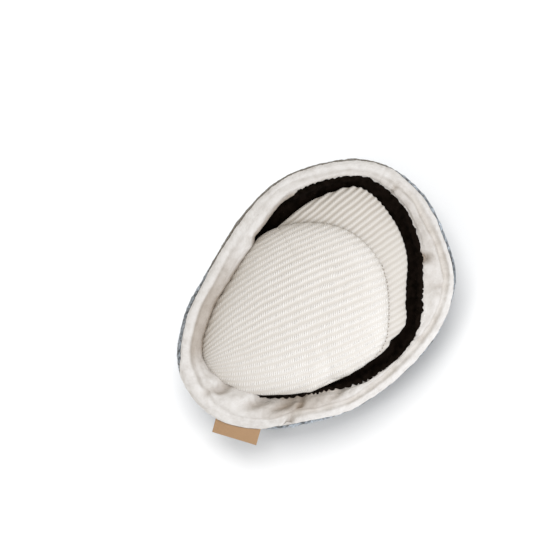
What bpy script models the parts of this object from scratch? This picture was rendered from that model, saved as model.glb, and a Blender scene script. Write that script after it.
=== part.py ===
"""Plush oyster on the half shell: a stuffed toy lying with its open side up.

A blue-grey cup of short plush carries a white plush lining with a stitched rim and a puffy fold.
A dark cushion, the mantle, fills the well of the lining, and two plump ribbed lobes lie on it.
A bare folded tag comes out of the rim seam.

Units are metres, +Z is up and +X runs along the toy towards its broad lip.
Angles are in degrees, counter-clockwise from +X, about the middle of the well.
"""
import math

import bmesh
import bpy
import numpy as np

MM = 0.001
TOY = "plush_oyster"

# Closed outlines in plan: radii in mm at even steps of angle, starting on +X
RIM_OUTLINE = (97.1, 96.6, 88.7, 81.8, 74.4, 71.2, 75.0, 87.9, 100.9,
               101.0, 89.8, 78.8, 73.9, 71.8, 74.6, 82.0, 90.0, 92.7)
WELL_OUTLINE = (82.1, 85.7, 77.4, 68.6, 59.5, 57.3, 60.7, 72.0, 84.8,
                79.4, 68.6, 60.2, 59.3, 61.6, 64.9, 68.0, 68.4, 74.8)
FRONT_OUTLINE = (47.6, 48.8, 49.8, 51.9, 55.4, 55.9, 59.4, 70.7, 83.8,
                 77.7, 66.1, 57.3, 51.4, 52.0, 50.5, 46.1, 45.1, 46.4)
BACK_OUTLINE = (71.7, 76.9, 67.6, 57.5, 51.6, 51.9, 55.4, 66.7, 79.8,
                73.7, 62.1, 53.3, 48.4, 51.6, 54.8, 57.9, 57.5, 64.8)

# Rim: its crest stands higher on the +Y side, and it ends in a round nose
RIM_HEIGHT = 45.0 * MM
RIM_HEIGHT_SWAY = 5.0 * MM
NOSE_RADIUS = 4.0 * MM
SEAM_ANGLE = 50.0
LOW_SEAM_ANGLE = -25.0
LOW_SEAM_FROM, LOW_SEAM_TO, LOW_SEAM_RAMP = 168.0, 198.0, 18.0
CUP_SEAM_ANGLE = 1.0
SEAM_GAP_ANGLE = 15.0
LINING_SKIN = 2.0 * MM
LAYER_GAP = 0.6 * MM

# Cup: a flat spot to rest on and rounded sides
FOOT_SHARE = 0.45
FOOT_RING_SHARE = 0.5
CUP_FLOOR = 12.0 * MM
CUP_SIDE_STEPS = 7

# Lining: topstitched groove, puffy fold and the wall of the well. From ROLL_FROM to ROLL_TO the
# fold is a plain round roll that stands well clear of the mantle.
GROOVE_INSET = 6.8 * MM
GROOVE_DEPTH = 1.9 * MM
GROOVE_SIDE_SHARE = 0.3
GROOVE_SIDE = 0.3 * MM
GROOVE_BACKING = 0.6 * MM
ROLL_GROOVE_DEPTH = 0.3 * MM
ROLL_FROM, ROLL_TO, ROLL_RAMP = 14.0, 170.0, 18.0
FOLD_SHARE = 0.45
FOLD_RISE = 0.6 * MM
FOLD_SHOULDER = 0.4 * MM
SLOPE_DROP, ROLL_SLOPE_DROP = 0.28, 0.18
LOW_SLOPE_DROP, ROLL_LOW_SLOPE_DROP = 0.74, 0.62
LOW_SLOPE_INSET = 1.2 * MM
LIP_RISE = 1.6 * MM
ROLL_LIP_DROP = 8.5 * MM
LINING_FLOOR = 15.0 * MM
LINING_WALL = 2.4 * MM
UNDER_FOLD_SHARE = 0.8
WALL_DEPTH = 4.0 * MM
BACK_WALL_DEPTH = 3.0 * MM
BOWL_POWER = 0.8
WELL_STEPS = 6
# Puckers of the fold: angle, half width in degrees, depth in mm
PUCKERS = ((6.0, 5.0, 2.6), (62.0, 7.0, 0.8), (171.0, 6.0, 3.0), (206.0, 5.0, 2.2),
           (214.0, 5.0, 2.6), (240.0, 6.0, 1.2), (291.0, 7.0, 1.6), (334.0, 7.0, 2.6))

# Mantle: a cushion whose top leans a little down to the -X tip
MANTLE_TOP = 33.5 * MM
MANTLE_LEAN_X = 0.045
MANTLE_LEAN_Y = -0.02
MANTLE_EDGE = 2.5 * MM
MANTLE_EDGE_TURNS = (0.0, 30.0, 60.0, 90.0)
MANTLE_RING_SHARE = 0.5

# Lobes: two pillows with ribs
RIB_RISE = 0.8 * MM
SLICES_PER_RIB = 2
LOBE_RING = 20
OUTLINE_STEPS = 1440
END_SLICE_SHARE = 0.3
DOME_POWER = 2.4
DOME_ROOT = 1.8
TUCK_POWER = 8
BACK_CROWN = 47.5 * MM
BACK_EDGE_LIFT = 3.5 * MM
BACK_RIB_ANGLE = -12.0
BACK_RIB_PITCH = 3.7 * MM
FRONT_CROWN = 61.0 * MM
FRONT_EDGE_LIFT = 1.9 * MM
FRONT_RIB_ANGLE = -25.0
FRONT_RIB_PITCH = 4.4 * MM
LOBE_GAP = 1.1 * MM
LOBE_SIDE_GAP = 2.5 * MM
BEDDING_GAP = 0.7 * MM

# Tag: a folded tape that comes out under the overhanging rim
TAG_FROM, TAG_TO = 181.0, 198.0
TAG_GAP = 0.4 * MM
TAG_LENGTH = 10.5 * MM
TAG_THICKNESS = 1.4 * MM
TAG_DROOP = 22.0
TAG_TURN = 207.0
TAG_TOP = 38.0 * MM
TAG_STEPS = 6
TAG_ROW_SHARES = (0.0, 0.45, 1.0)
TAG_BEND_POWER = 1.4

RIM_SECTORS = 60
MANTLE_SECTORS = 48
SHARP_ANGLE = 50.0

FABRIC_ROUGHNESS = 0.9
COLOURS = {
    "shell": (0.29, 0.34, 0.37, 1.0),
    "lining": (0.86, 0.84, 0.81, 1.0),
    "mantle": (0.012, 0.009, 0.007, 1.0),
    "lobe_back": (0.80, 0.77, 0.71, 1.0),
    "lobe_front": (0.84, 0.81, 0.76, 1.0),
    "tag": (0.50, 0.32, 0.18, 1.0),
}


def closed_curve(radii_mm):
    """Give a function of angle that runs smoothly through evenly spaced radii."""
    radii = np.array(radii_mm) * MM
    step = 360.0 / len(radii)

    def radius(angle):
        place = np.asarray(angle, float) % 360.0 / step
        first = np.floor(place).astype(int)
        t = place - first
        a, b, c, d = (radii[(first + shift) % len(radii)] for shift in (-1, 0, 1, 2))
        bend = (2 * a - 5 * b + 4 * c - d) * t**2 + (3 * b - a - 3 * c + d) * t**3
        return 0.5 * (2 * b + (c - a) * t + bend)

    return radius


rim_radius = closed_curve(RIM_OUTLINE)
well_radius = closed_curve(WELL_OUTLINE)
front_radius = closed_curve(FRONT_OUTLINE)
back_radius = closed_curve(BACK_OUTLINE)


def smooth_step(value):
    t = np.clip(value, 0.0, 1.0)
    return t * t * (3.0 - 2.0 * t)


def within(angle, start, end, ramp):
    """Rise smoothly from 0 to 1 between two angles, with a ramp at each side."""
    rise = smooth_step((angle - start + ramp) / ramp)
    fall = smooth_step((end + ramp - angle) / ramp)
    return rise * fall


def rim_height(angle):
    return RIM_HEIGHT + RIM_HEIGHT_SWAY * np.sin(np.radians(angle))


def seam_angle(angle):
    """Angle on the nose where cup and lining are sewn together."""
    low = within(angle, LOW_SEAM_FROM, LOW_SEAM_TO, LOW_SEAM_RAMP)
    return SEAM_ANGLE + (LOW_SEAM_ANGLE - SEAM_ANGLE) * low


def pucker_depth(angle):
    depth = 0.0
    for centre, half_width, deep in PUCKERS:
        away = (angle - centre + 180.0) % 360.0 - 180.0
        depth = depth + deep * MM * np.exp(-(away / half_width) ** 2)
    return depth


def dome(share):
    """Height of a stuffed pillow from 1 in the middle to 0 at its outline."""
    return np.clip(1.0 - np.clip(share, 0.0, 1.0) ** DOME_POWER, 0.0, 1.0) ** (1.0 / DOME_ROOT)


def tuck(share):
    """How far a pillow's underside has reached its bed, 0 at the outline."""
    return np.sqrt(np.clip(1.0 - np.clip(share, 0.0, 1.0) ** TUCK_POWER, 0.0, 1.0))


def mantle_height(x, y):
    return MANTLE_TOP + MANTLE_LEAN_X * x + MANTLE_LEAN_Y * y


def polar(x, y):
    return np.hypot(x, y), np.degrees(np.arctan2(y, x))


def on_circle(radius, angle):
    return radius * np.cos(np.radians(angle)), radius * np.sin(np.radians(angle))


def back_edge_height(angle):
    return mantle_height(*on_circle(back_radius(angle), angle)) + BACK_EDGE_LIFT


def back_top(x, y, inward=0.0):
    """Top of the back lobe, or of one that is wider by the inward distance."""
    radius, angle = polar(x, y)
    edge = back_edge_height(angle)
    share = np.maximum(radius - inward, 0.0) / back_radius(angle)
    return edge + (BACK_CROWN - edge) * dome(share)


def front_edge_height(angle):
    return back_top(*on_circle(front_radius(angle), angle)) + FRONT_EDGE_LIFT


def front_top(x, y):
    radius, angle = polar(x, y)
    edge = front_edge_height(angle)
    return edge + (FRONT_CROWN - edge) * dome(radius / front_radius(angle))


def pillow_underside(x, y, radius_at, edge, bed):
    radius, angle = polar(x, y)
    return edge - (edge - bed) * tuck(radius / radius_at(angle))


def back_underside(x, y):
    edge = back_edge_height(polar(x, y)[1])
    return pillow_underside(x, y, back_radius, edge, mantle_height(x, y) + BEDDING_GAP)


def front_underside(x, y):
    edge = front_edge_height(polar(x, y)[1])
    bed = back_top(x, y, LOBE_SIDE_GAP) + LOBE_GAP
    return pillow_underside(x, y, front_radius, edge, bed)


def nose_arc(angle, radius, first, steps):
    """Points of the rim's round nose in section, from an angle on it up to its crest."""
    centre_r = rim_radius(angle) - NOSE_RADIUS
    centre_z = rim_height(angle) - NOSE_RADIUS
    turns = np.radians(np.linspace(first, 90.0, steps))
    return [(centre_r + radius * math.cos(a), centre_z + radius * math.sin(a)) for a in turns]


def bowl(radius, top, floor, steps):
    """Section of a rounded well, from the top of its wall to near the middle of its floor."""
    points = []
    for turn in np.radians(np.linspace(0.0, 90.0, steps + 1)[:-1]):
        drop = (top - floor) * math.sin(turn) ** BOWL_POWER
        points.append((radius * math.cos(turn) ** BOWL_POWER, top - drop))
    return points


def wall_foot(angle, depth):
    """Height where the straight wall ends, at a depth below the mantle's top beside it."""
    return mantle_height(*on_circle(well_radius(angle), angle)) - depth


def shell_section(angle):
    rim = rim_radius(angle)
    nose_z = rim_height(angle) - NOSE_RADIUS
    foot = rim * FOOT_SHARE
    seam = seam_angle(angle) + CUP_SEAM_ANGLE
    points = [(0.0, 0.0), (foot * FOOT_RING_SHARE, 0.0)]
    for step in range(CUP_SIDE_STEPS + 1):
        turn = math.radians(90.0 * step / CUP_SIDE_STEPS)
        points.append((foot + (rim - foot) * math.sin(turn), nose_z * (1.0 - math.cos(turn))))
    under = min(seam, 0.0)
    points[-1] = nose_arc(angle, NOSE_RADIUS, under, 2)[0]
    points.append(nose_arc(angle, NOSE_RADIUS, (seam + under) / 2, 2)[0])
    points.append(nose_arc(angle, NOSE_RADIUS, seam, 2)[0])
    points += nose_arc(angle, NOSE_RADIUS - LINING_SKIN - LAYER_GAP, seam, 4)
    points += lining_back(angle, LAYER_GAP)[1:]
    return points + [(0.0, CUP_FLOOR)]


def lining_back(angle, gap):
    """Hidden face of the lining, or the cup's face behind it when a gap is given."""
    rim = rim_radius(angle)
    top = rim_height(angle)
    fold = fold_inset(angle)
    wall = well_radius(angle) + LINING_WALL + gap
    under_fold = min(rim - fold * UNDER_FOLD_SHARE, rim - GROOVE_INSET)
    points = [(rim - NOSE_RADIUS, top - LINING_SKIN - gap)]
    low = wall_foot(angle, BACK_WALL_DEPTH)
    high = top - GROOVE_DEPTH - LINING_SKIN - GROOVE_BACKING - gap
    points.append((under_fold + gap, high))
    points.append(((under_fold + gap + wall) / 2, (high + low) / 2))
    floor = LINING_FLOOR - LINING_WALL - gap
    return points + bowl(wall, low, floor, WELL_STEPS)


def fold_inset(angle):
    """Distance of the fold's crest from the silhouette."""
    room = rim_radius(angle) - well_radius(angle)
    return GROOVE_INSET + FOLD_SHARE * (room - GROOVE_INSET)


def lining_section(angle):
    rim = rim_radius(angle)
    top = rim_height(angle)
    seam = seam_angle(angle) + SEAM_GAP_ANGLE
    well = well_radius(angle)
    fold = fold_inset(angle)
    roll = within(angle, ROLL_FROM, ROLL_TO, ROLL_RAMP)
    groove = GROOVE_DEPTH + (ROLL_GROOVE_DEPTH - GROOVE_DEPTH) * roll
    crest = top + FOLD_RISE * (1.0 - roll) - pucker_depth(angle)
    lip = mantle_height(*on_circle(well, angle)) + LIP_RISE
    lip += (top - ROLL_LIP_DROP - lip) * roll
    slope = SLOPE_DROP + (ROLL_SLOPE_DROP - SLOPE_DROP) * roll
    low_slope = LOW_SLOPE_DROP + (ROLL_LOW_SLOPE_DROP - LOW_SLOPE_DROP) * roll

    points = [(0.0, LINING_FLOOR - LINING_WALL)]
    points += lining_back(angle, 0.0)[:1:-1]
    points.append(lining_back(angle, 0.0)[1])
    points += nose_arc(angle, NOSE_RADIUS - LINING_SKIN, seam, 4)[::-1]
    points += nose_arc(angle, NOSE_RADIUS, seam, 5)
    points.append((rim - (NOSE_RADIUS + GROOVE_INSET) / 2, top - groove * GROOVE_SIDE_SHARE))
    points.append((rim - GROOVE_INSET, top - groove))
    points.append((rim - (GROOVE_INSET + fold) / 2 - GROOVE_SIDE, crest - FOLD_SHOULDER))
    points.append((rim - fold, crest))
    points.append(((rim - fold + well) / 2, crest - (crest - lip) * slope))
    points.append((well + LOW_SLOPE_INSET, crest - (crest - lip) * low_slope))
    points.append((well, lip))
    points += bowl(well, wall_foot(angle, WALL_DEPTH), LINING_FLOOR, WELL_STEPS)
    return points + [(0.0, LINING_FLOOR)]


def mantle_section(angle):
    edge = well_radius(angle) - LAYER_GAP
    low = LINING_FLOOR + LAYER_GAP
    top = mantle_height(*on_circle(edge, angle))
    points = [(0.0, low)]
    foot = wall_foot(angle, WALL_DEPTH) + LAYER_GAP
    points += bowl(edge, foot, low, WELL_STEPS - 1)[::-1]
    for turn in MANTLE_EDGE_TURNS:
        out, up = on_circle(MANTLE_EDGE, turn)
        points.append((edge - MANTLE_EDGE + out, top - MANTLE_EDGE + up))
    middle = (edge - MANTLE_EDGE) * MANTLE_RING_SHARE
    points.append((middle, mantle_height(*on_circle(middle, angle))))
    return points + [(0.0, MANTLE_TOP)]


def polar_body(name, section, sectors):
    """Loft a closed solid round the Z axis from sections that start and end on the axis."""
    mesh = bmesh.new()
    rings = []
    sections = [section(360.0 * i / sectors) for i in range(sectors)]
    bottom = mesh.verts.new((0.0, 0.0, sections[0][0][1]))
    top = mesh.verts.new((0.0, 0.0, sections[0][-1][1]))
    for i, points in enumerate(sections):
        turn = math.radians(360.0 * i / sectors)
        ring = [mesh.verts.new((r * math.cos(turn), r * math.sin(turn), z)) for r, z in points[1:-1]]
        rings.append(ring)
    for i, ring in enumerate(rings):
        after = rings[(i + 1) % sectors]
        mesh.faces.new((bottom, after[0], ring[0]))
        mesh.faces.new((top, ring[-1], after[-1]))
        for j in range(len(ring) - 1):
            mesh.faces.new((ring[j], after[j], after[j + 1], ring[j + 1]))
    return new_object(name, mesh)


def chord(outline_uv, v):
    """Where a line across the lobe at v enters and leaves its outline."""
    u, w = outline_uv
    ahead = np.roll(w, -1)
    crossing = (w - v) * (ahead - v) <= 0.0
    share = (v - w[crossing]) / (ahead[crossing] - w[crossing])
    hits = u[crossing] + share * (np.roll(u, -1)[crossing] - u[crossing])
    return hits.min(), hits.max()


def lobe_body(name, radius_at, rib_angle, pitch, top, underside):
    """Loft a ribbed pillow from slices across its ribs, alternately on a rib and in a furrow."""
    along = np.array(on_circle(1.0, rib_angle))
    across = np.array(on_circle(1.0, rib_angle + 90.0))
    angles = np.linspace(0.0, 360.0, OUTLINE_STEPS, endpoint=False)
    outline = np.array(on_circle(radius_at(angles), angles))
    outline_uv = (along @ outline, across @ outline)
    step = pitch / SLICES_PER_RIB
    first = math.ceil(outline_uv[1].min() / step + END_SLICE_SHARE)
    last = math.floor(outline_uv[1].max() / step - END_SLICE_SHARE)
    turns = np.linspace(0.0, 2.0 * math.pi, LOBE_RING, endpoint=False)

    mesh = bmesh.new()
    rings = []
    for slot in range(first, last + 1):
        v = slot * step
        start, end = chord(outline_uv, v)
        rise = 0.5 * RIB_RISE * math.cos(2.0 * math.pi * v / pitch)
        u = (start + end) / 2 + (end - start) / 2 * np.cos(turns)
        x, y = along[:, None] * u + across[:, None] * v
        z = np.where(np.sin(turns) >= 0.0, top(x, y) + rise * np.sin(turns), underside(x, y))
        x, y = x + along[0] * rise * np.cos(turns), y + along[1] * rise * np.cos(turns)
        rings.append([mesh.verts.new(point) for point in zip(x, y, z)])
    for ring, after in zip(rings, rings[1:]):
        for j in range(LOBE_RING):
            k = (j + 1) % LOBE_RING
            mesh.faces.new((ring[j], ring[k], after[k], after[j]))
    for ring, tip in ((rings[0], outline_uv[1].argmin()), (rings[-1], outline_uv[1].argmax())):
        x, y = outline[:, tip]
        pole = mesh.verts.new((x, y, float(top(x, y))))
        for j in range(LOBE_RING):
            k = (j + 1) % LOBE_RING
            mesh.faces.new((pole, ring[j], ring[k]) if ring is rings[-1] else (pole, ring[k], ring[j]))
    bmesh.ops.recalc_face_normals(mesh, faces=mesh.faces)
    return new_object(name, mesh)


def tag_body(name):
    """Thicken a short curved tape that follows the rim and droops outwards."""
    mesh = bmesh.new()
    out = np.array(on_circle(1.0, TAG_TURN))
    rows = []
    for step in range(TAG_STEPS + 1):
        angle = TAG_FROM + (TAG_TO - TAG_FROM) * step / TAG_STEPS
        start = np.array(on_circle(rim_radius(angle) + TAG_GAP, angle))
        reach = TAG_LENGTH * math.cos(math.radians(TAG_DROOP))
        drop = TAG_LENGTH * math.sin(math.radians(TAG_DROOP))
        row = []
        for share in TAG_ROW_SHARES:
            x, y = start + out * reach * share
            row.append(mesh.verts.new((x, y, TAG_TOP - drop * share ** TAG_BEND_POWER)))
        rows.append(row)
    for row, after in zip(rows, rows[1:]):
        for j in range(len(row) - 1):
            mesh.faces.new((row[j], row[j + 1], after[j + 1], after[j]))
    tag = new_object(name, mesh)
    thick = tag.modifiers.new("folded tape", "SOLIDIFY")
    thick.thickness = TAG_THICKNESS
    thick.offset = -1.0
    return tag


def new_object(name, mesh):
    data = bpy.data.meshes.new(name)
    mesh.to_mesh(data)
    mesh.free()
    part = bpy.data.objects.new(name, data)
    bpy.data.collections[TOY].objects.link(part)
    data.materials.append(fabric(name))
    return part


def fabric(name):
    material = bpy.data.materials.new(name)
    material.use_nodes = True
    shader = material.node_tree.nodes["Principled BSDF"]
    shader.inputs["Base Color"].default_value = COLOURS[name]
    shader.inputs["Roughness"].default_value = FABRIC_ROUGHNESS
    shader.inputs["Metallic"].default_value = 0.0
    material.diffuse_color = COLOURS[name]
    return material


def clear_scene():
    for item in list(bpy.data.objects):
        bpy.data.objects.remove(item, do_unlink=True)
    collection = bpy.data.collections.new(TOY)
    bpy.context.scene.collection.children.link(collection)


def set_on_origin(parts):
    """Move the toy so that the middle of its whole box lies over the origin, resting on z = 0."""
    solid = bpy.context.evaluated_depsgraph_get()
    corners = np.array([corner[:] for part in parts for corner in part.evaluated_get(solid).bound_box])
    low, high = corners.min(axis=0), corners.max(axis=0)
    for part in parts:
        part.location = (-(low[0] + high[0]) / 2, -(low[1] + high[1]) / 2, -low[2])


def main():
    clear_scene()
    parts = [
        polar_body("shell", shell_section, RIM_SECTORS),
        polar_body("lining", lining_section, RIM_SECTORS),
        polar_body("mantle", mantle_section, MANTLE_SECTORS),
        lobe_body("lobe_back", back_radius, BACK_RIB_ANGLE, BACK_RIB_PITCH, back_top, back_underside),
        lobe_body("lobe_front", front_radius, FRONT_RIB_ANGLE, FRONT_RIB_PITCH, front_top,
                  front_underside),
        tag_body("tag"),
    ]
    for part in parts:
        part.data.shade_smooth()
        part.data.set_sharp_from_angle(angle=math.radians(SHARP_ANGLE))
    set_on_origin(parts)


main()
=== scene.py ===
import itertools
import math

import bpy
import numpy as np
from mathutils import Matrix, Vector


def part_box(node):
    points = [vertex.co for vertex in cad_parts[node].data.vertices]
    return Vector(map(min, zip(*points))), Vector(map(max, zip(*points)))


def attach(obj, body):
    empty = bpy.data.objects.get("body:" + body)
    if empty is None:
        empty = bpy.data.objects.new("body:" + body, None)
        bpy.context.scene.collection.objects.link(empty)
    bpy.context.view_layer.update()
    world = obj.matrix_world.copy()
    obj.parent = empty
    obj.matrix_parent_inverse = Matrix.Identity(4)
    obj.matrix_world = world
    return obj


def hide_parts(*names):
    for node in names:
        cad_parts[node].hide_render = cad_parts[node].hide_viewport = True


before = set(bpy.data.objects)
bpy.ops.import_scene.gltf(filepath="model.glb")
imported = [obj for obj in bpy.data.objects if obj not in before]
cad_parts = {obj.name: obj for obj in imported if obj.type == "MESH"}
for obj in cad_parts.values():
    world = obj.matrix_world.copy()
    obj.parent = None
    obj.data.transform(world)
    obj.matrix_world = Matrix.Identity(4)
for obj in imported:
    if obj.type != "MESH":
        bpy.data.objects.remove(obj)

# A stuffed plush oyster on the half shell. Units are metres and angles are degrees from +X.
# Shapes are worked out about the middle of the well, then moved to where the frame has them.
MM = 0.001
UP = np.array((0.0, 0.0, 1.0))
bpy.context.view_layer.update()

# Closed outlines in plan: radii in mm at even steps of angle, starting on +X
RIM_OUTLINE = (97.1, 96.6, 88.7, 81.8, 74.4, 71.2, 75.0, 87.9, 100.9,
               101.0, 89.8, 78.8, 73.9, 71.8, 74.6, 82.0, 90.0, 92.7)
WELL_OUTLINE = (82.1, 85.7, 77.4, 68.6, 59.5, 57.3, 60.7, 72.0, 84.8,
                79.4, 68.6, 60.2, 59.3, 61.6, 64.9, 68.0, 68.4, 74.8)
FRONT_OUTLINE = (47.6, 48.8, 49.8, 51.9, 55.4, 55.9, 59.4, 70.7, 83.8,
                 77.7, 66.1, 57.3, 51.4, 52.0, 50.5, 46.1, 45.1, 46.4)
BACK_OUTLINE = (71.7, 76.9, 67.6, 57.5, 51.6, 51.9, 55.4, 66.7, 79.8,
                73.7, 62.1, 53.3, 48.4, 51.6, 54.8, 57.9, 57.5, 64.8)

# Nicks and bumps in a lobe's outline: angle, half width in degrees, and how far outwards in mm
BACK_NICKS = ((24, 7, 1.4), (284, 4, -1.5), (296, 5, 1), (309, 4, -0.9))
FRONT_NICKS = ((218, 5, 1.3), (231, 4, -1.4), (244, 5, 1.2), (262, 3.5, -0.6))

# Rim and cup
RIM_HEIGHT = 45.0 * MM
RIM_HEIGHT_SWAY = 5.0 * MM
NOSE_RADIUS = 4.0 * MM
# Where cup and lining are sewn together: angle round the rim, and angle on its round nose
SEAMS = (
    (0, 48), (7, 42), (13, 14), (18, 30), (32, 40), (42, 35), (52, 44), (62, 46), (77, 48), (92, 45),
    (104, 38), (126, 54), (142, 65), (155, 64), (164, -25), (196, -25), (202, 56), (214, 60), (222, 48),
    (230, 28), (238, 6), (255, 0), (272, 4), (284, 20), (297, 25), (306, 20), (313, 30), (321, 48),
    (330, 55), (344, 53),
)
SEAM_CREASE_ANGLE = 5.0
FOOT_SHARE = 0.45
FOOT_ROWS = (0.15, 0.35, 0.55, 0.75, 0.9)
CUP_FLOOR = 12.0 * MM
SHELL_COLUMNS, SHELL_SIDE_ROWS, SHELL_EDGE_ROWS = 640, 84, 7
SHELL_SWELL, SHELL_SWELL_SIZE = 0.55 * MM, 26.0 * MM
SHELL_PILE, SHELL_PILE_SIZE = 0.42 * MM, 2.4 * MM
EDGE_FUR = 0.45 * MM
DARTS = (38.0, 142.0, 222.0, 318.0)
DART_DEPTH, DART_HALF_WIDTH = 0.9 * MM, 1.1 * MM
BROWN_FROM, BROWN_TO, BROWN_RAMP = 20.0, 108.0, 14.0

# Lining
# Topstitched groove: angle, inset from the silhouette, depth, half width, and rise of the fold
# beside it, all but the angle in mm
GROOVES = (
    (0, 7, 1.6, 1.6, 1.6), (8, 6.5, 0.8, 1.4, 1), (14, 6.5, 0.1, 1.2, 0.4), (40, 6.5, 0.1, 1.2, 0),
    (62, 5.2, 0.3, 0.7, 0), (77, 6.4, -0.3, 0.8, 0), (107, 6.6, 0.3, 1, 0), (138, 8.8, 0.8, 1.2, -0.6),
    (147, 9, 1, 1.2, -0.8), (154, 8.7, 1.1, 1.2, -0.6), (162, 9, 0.3, 1.2, 0.2), (172, 8, 0.15, 1.2, 1),
    (180, 6.5, 0.2, 1.1, 1), (200, 6.4, 0.5, 1.1, 1), (208, 8.8, 1.5, 1.5, 0.8),
    (217, 8.5, 2.3, 1.5, 1.2), (227, 7.2, 1.7, 1.4, 1.2), (240, 6.4, 1.9, 1.4, 1.2),
    (262, 6.5, 2.2, 1.5, 1), (277, 7.5, 2.2, 1.9, 1.2), (287, 7, 1.6, 1.5, 1),
    (297, 7.5, 1.8, 1.5, 1.2), (304, 6.8, 1.8, 1.4, 1.2), (312, 7.2, 1.2, 1.4, 1.4),
    (324, 6.4, 2.2, 1.5, 1.8), (334, 7, 2.9, 1.6, 2.4), (344, 8, 3.2, 1.7, 2.8),
    (352, 8.2, 2.6, 1.7, 2.4),
)
ROLL_FROM, ROLL_TO, ROLL_RAMP = 14.0, 138.0, 22.0
HUG_FROM, HUG_TO, HUG_RAMP = 94.0, 184.0, 9.0
HUG_OVERLAP = 2.0 * MM
LIP_RISE = 4.6 * MM
ROLL_LIP_DROP = 8.5 * MM
HUG_LIP_DROP = 0.5 * MM
FOLD_REACH = 3.3 * MM
# Painted shade towards the inner edge: angle, share of painted shade right at the edge, and share
# of the whole inner slope
PAINTED_SHADES = (
    (0, 0.1, 0.28), (30, 0.3, 0.12), (50, 0.8, 0.1), (72, 0.9, 0), (98, 0.9, 0.04), (108, 0.9, 0.3),
    (130, 0.7, 0.72), (154, 0.6, 0.72), (162, 0.4, 0.2), (175, 0.3, 0), (190, 0.3, 0.04),
    (204, 0.7, 0.5), (214, 0.7, 0.6), (228, 0.7, 0.42), (245, 0.3, 0.08), (300, 0.1, 0.12),
    (318, 0.1, 0.18), (327, 0.1, 0.18), (334, 0.9, 0.24), (341, 0.1, 0.2), (350, 0.1, 0.3),
)
LIP_SHADE_REACH = 3.2 * MM
LINING_COLUMNS, LINING_SHOWN_ROWS = 860, slice(12, 68)
LINING_FLOOR = 15.0 * MM
LINING_WALL = 2.4 * MM
LAYER_GAP = 0.6 * MM
PUFF_RISE, PUFF_SIZE = 0.8 * MM, 15.0 * MM
WRINKLE_RISE, WRINKLE_SIZE = 0.22 * MM, 3.6 * MM
GROOVE_WANDER = 0.3 * MM
LINING_PILE, LINING_PILE_SIZE = 0.5 * MM, 1.7 * MM
# Dents and puffs: angle, inset from the silhouette, half length along the rim, half length
# across it, and height, all but the angle in mm
LINING_DENTS = (
    (319, 11, 1.6, 5, -1.4), (334, 18.2, 4.2, 4.6, -3.6), (341, 9.2, 15, 2.4, 0.9),
    (0, 9.6, 9, 2.4, 0.9), (8, 10, 1.9, 4, -2), (15, 7, 1, 7, -0.5), (168.5, 14.5, 5, 5, 2.2),
    (174.5, 19, 4.4, 5, -5), (171.5, 11.5, 2.4, 5, -2.4), (181, 15.5, 6, 4.5, 2.2),
    (191, 18.5, 8, 4.5, -3.2), (204, 16.5, 8, 4, -3), (202, 11, 5.5, 3, 1.8), (212, 14.5, 3, 4.5, -3.6),
    (208.5, 5, 2.4, 4, -3.4), (222, 11, 7, 3, 1.6), (233, 13.5, 9, 2.6, -1.8), (243, 10, 7, 2.6, 0.6),
    (262, 9.8, 4, 2, 0.4), (291, 9.5, 2.2, 3, -1), (120, 5, 9, 3, 0.6), (72, 8, 10, 3, 0.5),
)
DENT_SLANT = 0.25
# Share of painted shade in the deepest dents
DENT_SHADE = 0.48
DEEP_DENT = 3.0 * MM

# Mantle
MANTLE_TOP = 33.5 * MM
MANTLE_LEAN_X = 0.045
MANTLE_LEAN_Y = -0.02
MANTLE_EDGE = 2.5 * MM
MANTLE_COLUMNS, MANTLE_SHOWN_ROWS = 900, slice(7, 50)
TUFT_RISE, TUFT_SIZE = 0.4 * MM, 2.3 * MM
CLUMP_RISE, CLUMP_SIZE = 0.22 * MM, 1.1 * MM
PILE_TIPS = 0.14 * MM
# The edge of the mantle lies in teeth over a ledge of the lining, but not from TUCK_FROM on.
# TOOTH_ROW is the middle row of the teeth, and LONG_TEETH has start, end and ramp.
TUCK_FROM, TUCK_RAMP = 62.0, 10.0
TOOTH_PITCH, TOOTH_REACH = 4.8 * MM, 0.85 * MM
TOOTH_ROW, TOOTH_HALF_ROWS = 12.0, 3.0
LONG_TEETH = (222.0, 282.0, 10.0)
LEDGE = 2.4 * MM
LEDGE_RISE = 1.4 * MM

# Lobes
DOME_POWER = 2.4
DOME_ROOT = 1.8
BACK_CROWN = 47.5 * MM
BACK_EDGE_LIFT = 3.5 * MM
FRONT_CROWN = 61.0 * MM
FRONT_EDGE_LIFT = 1.9 * MM
LOBE_GAP = 1.1 * MM
LOBE_SIDE_GAP = 2.5 * MM
BEDDING_GAP = 0.7 * MM
STUFFING_RISE, STUFFING_SIZE = 0.7 * MM, 30.0 * MM
CLOTH_FUZZ = 0.04 * MM
# Slices across the ribs, and points over and under in each slice
FRONT_GRID, BACK_GRID = (250, 300, 14), (240, 230, 12)
FRONT_RIB_RISE, BACK_RIB_RISE, EDGE_RIB_RISE = 0.36 * MM, 0.55 * MM, 0.4 * MM
FLECK_PITCH = 1.35 * MM
FLECK_SLANT, FLECK_SWAY = 1.42, 1.6
FRONT_RIB_ANGLE = -24.5
BACK_RIB_ANGLE = -13.0
# Number of ribs up to a point in plan: a polynomial in x and y over the field size, and for
# the front lobe a fan of ribs about its narrow tip
RIB_FIELD_SIZE = 50.0 * MM
FRONT_RIB_FIELD = {(1, 0): 3.461, (0, 1): 6.445, (2, 0): 0.847, (1, 1): 1.404, (0, 2): 0.318,
                   (3, 0): 0.081, (2, 1): 0.44, (1, 2): 1.059, (0, 3): 1.863}
BACK_RIB_FIELD = {(1, 0): 4.301, (0, 1): 14.398, (2, 0): -0.722, (1, 1): -1.168, (0, 2): 0.368}
FAN_TIP = (-84.0 * MM, 31.0 * MM)
FAN_CORE = 6.0 * MM
FAN_RIBS = 6.646

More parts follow.
